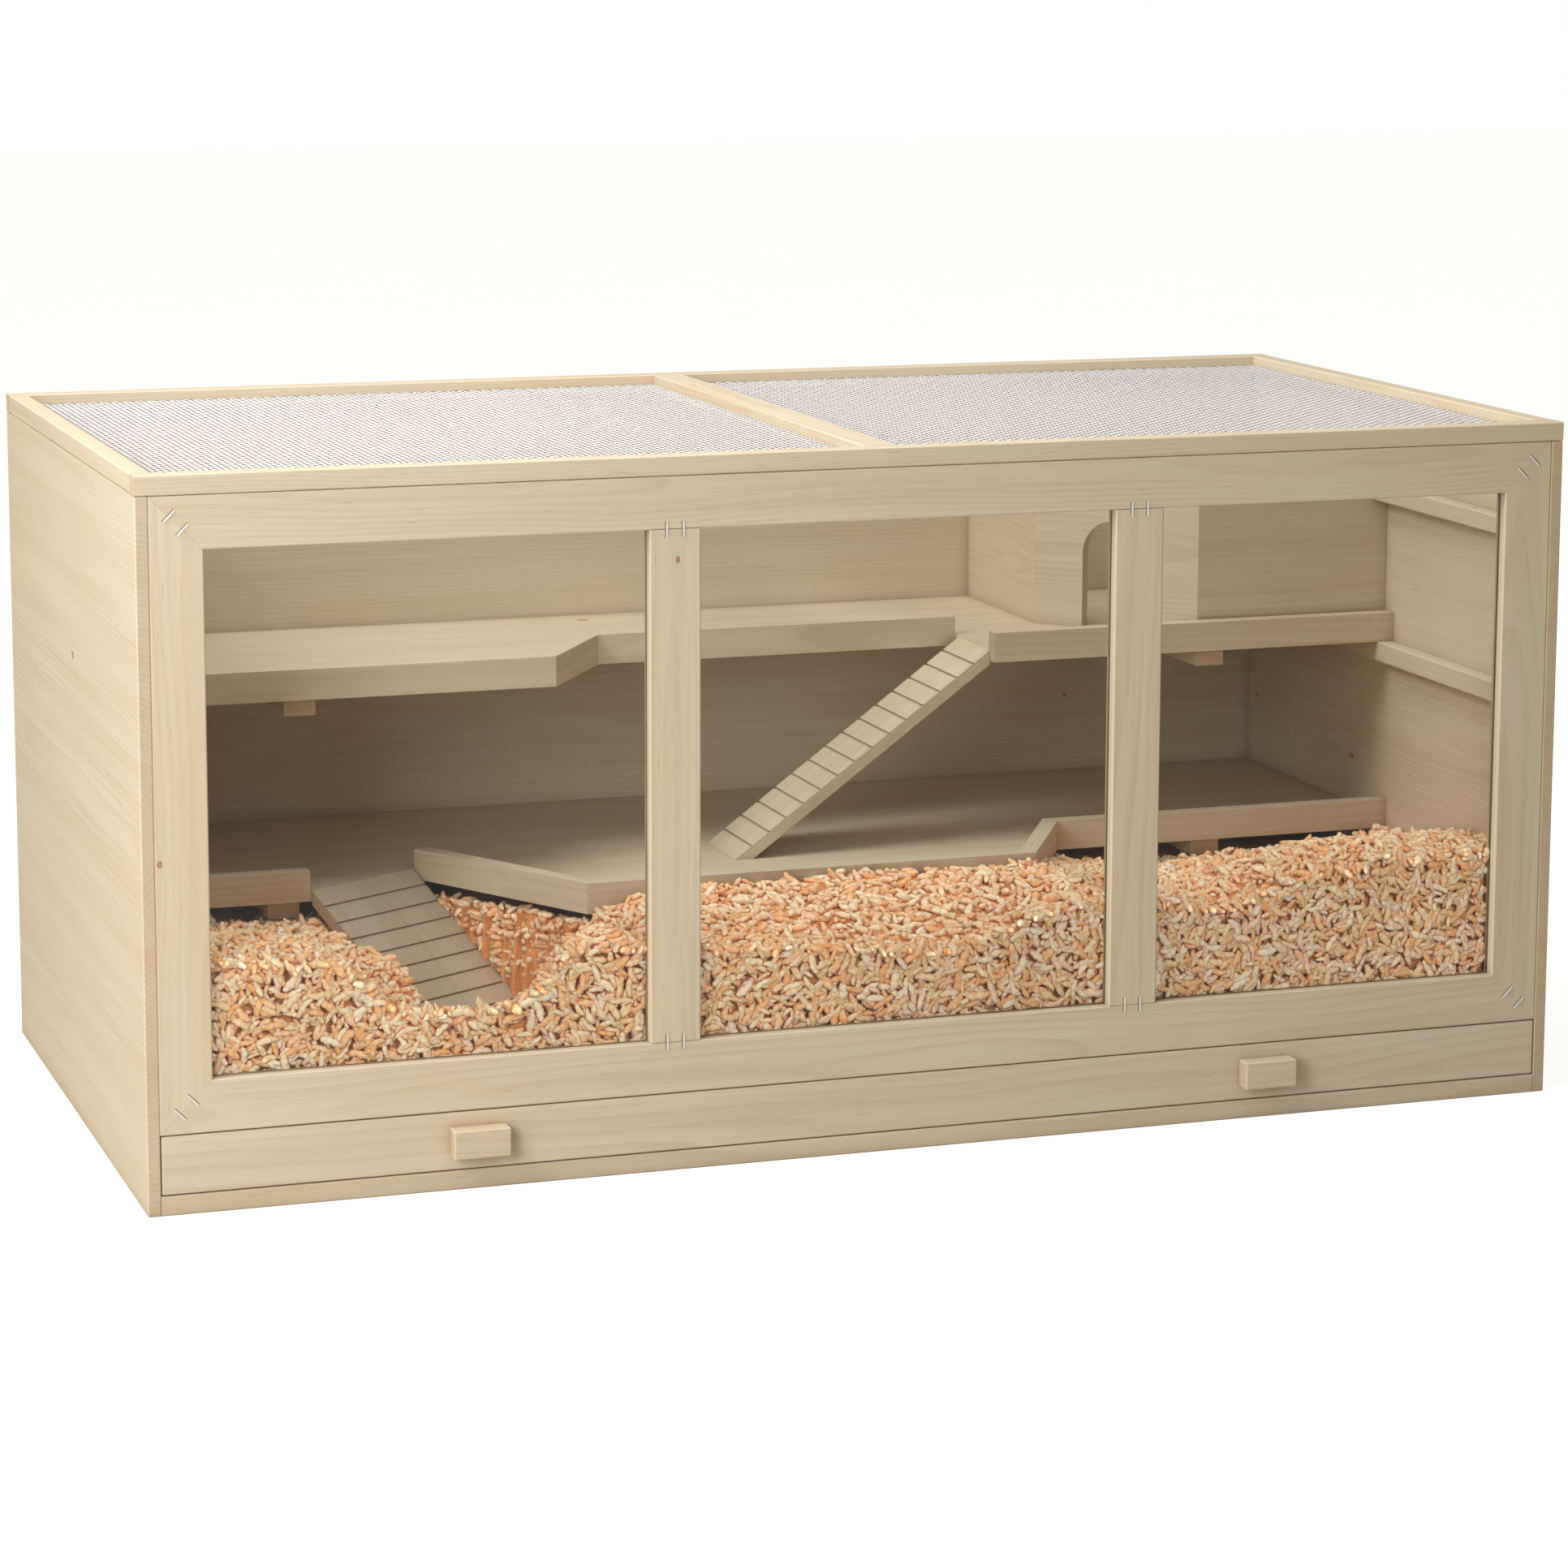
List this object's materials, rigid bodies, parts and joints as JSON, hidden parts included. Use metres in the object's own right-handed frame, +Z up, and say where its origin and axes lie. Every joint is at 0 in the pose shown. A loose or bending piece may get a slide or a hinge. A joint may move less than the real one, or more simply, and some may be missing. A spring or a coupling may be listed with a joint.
{
  "type": "hamster cage",
  "caption": "Wooden small-pet cage with windows in front, shelves, ramps, an arched hideaway, a hinged mesh lid and a pull-out bedding drawer.",
  "frame": {"origin": "centre of the carcass footprint, on the floor", "axes": "+Z up, -Y out of the window front, +X to the right when facing the front"},
  "size_m": [1.15, 0.5964, 0.5503],
  "materials": {
    "pine": "satin",
    "hardboard": "matte",
    "acrylic": "gloss",
    "steel": "satin",
    "hinge_steel": "satin",
    "mesh": "matte",
    "bedding": "matte"
  },
  "bodies": {
    "cabinet": {"back_panel": "pine", "cage_bedding": "bedding", "floor_board": "pine", "frame_staples": "steel", "front_bottom_rail": "pine", "front_left_stile": "pine", "front_right_stile": "pine", "front_top_rail": "pine", "hinge_lower_leaves": "hinge_steel", "hinge_pins": "steel", "hinge_screws_lower": "steel", "hut_door_wall": "pine", "hut_front_wall": "pine", "hut_left_wall": "pine", "left_side_panel": "pine", "lower_battens": "pine", "lower_bearers": "pine", "lower_fascia_diagonal_left": "pine", "lower_fascia_diagonal_right": "pine", "lower_fascia_front": "pine", "lower_fascia_left": "pine", "lower_fascia_right": "pine", "lower_ramp": "pine", "lower_shelf": "pine", "mullion_left": "pine", "mullion_right": "pine", "pane_left": "acrylic", "pane_middle": "acrylic", "pane_right": "acrylic", "right_side_panel": "pine", "top_batten": "pine", "upper_battens": "pine", "upper_bearers": "pine", "upper_fascia_chamfer": "pine", "upper_fascia_left": "pine", "upper_fascia_middle": "pine", "upper_fascia_right": "pine", "upper_ramp": "pine", "upper_shelf": "pine"},
    "drawer": {"drawer_front": "pine", "drawer_sides": "pine", "drawer_back": "pine", "drawer_bottom": "hardboard", "drawer_knobs": "pine", "tray_bedding": "bedding"},
    "lid": {"lid_back_rail": "pine", "lid_centre_bar": "pine", "lid_front_rail": "pine", "lid_mesh_beads": "pine", "lid_mesh_left": "mesh", "lid_mesh_right": "mesh", "lid_side_rails": "pine", "hinge_upper_leaves": "hinge_steel", "hinge_screws_upper": "steel"}
  },
  "joints": [
    {"name": "lid_hinge", "type": "hinge", "parent": "cabinet", "child": "lid", "pos_m": [0, 0.2907, 0.53515], "axis": [-1, 0, 0], "range_deg": [0, 100]},
    {"name": "drawer_slide", "type": "slide", "parent": "cabinet", "child": "drawer", "axis": [0, -1, 0], "range_m": [0, 0.42]}
  ]
}
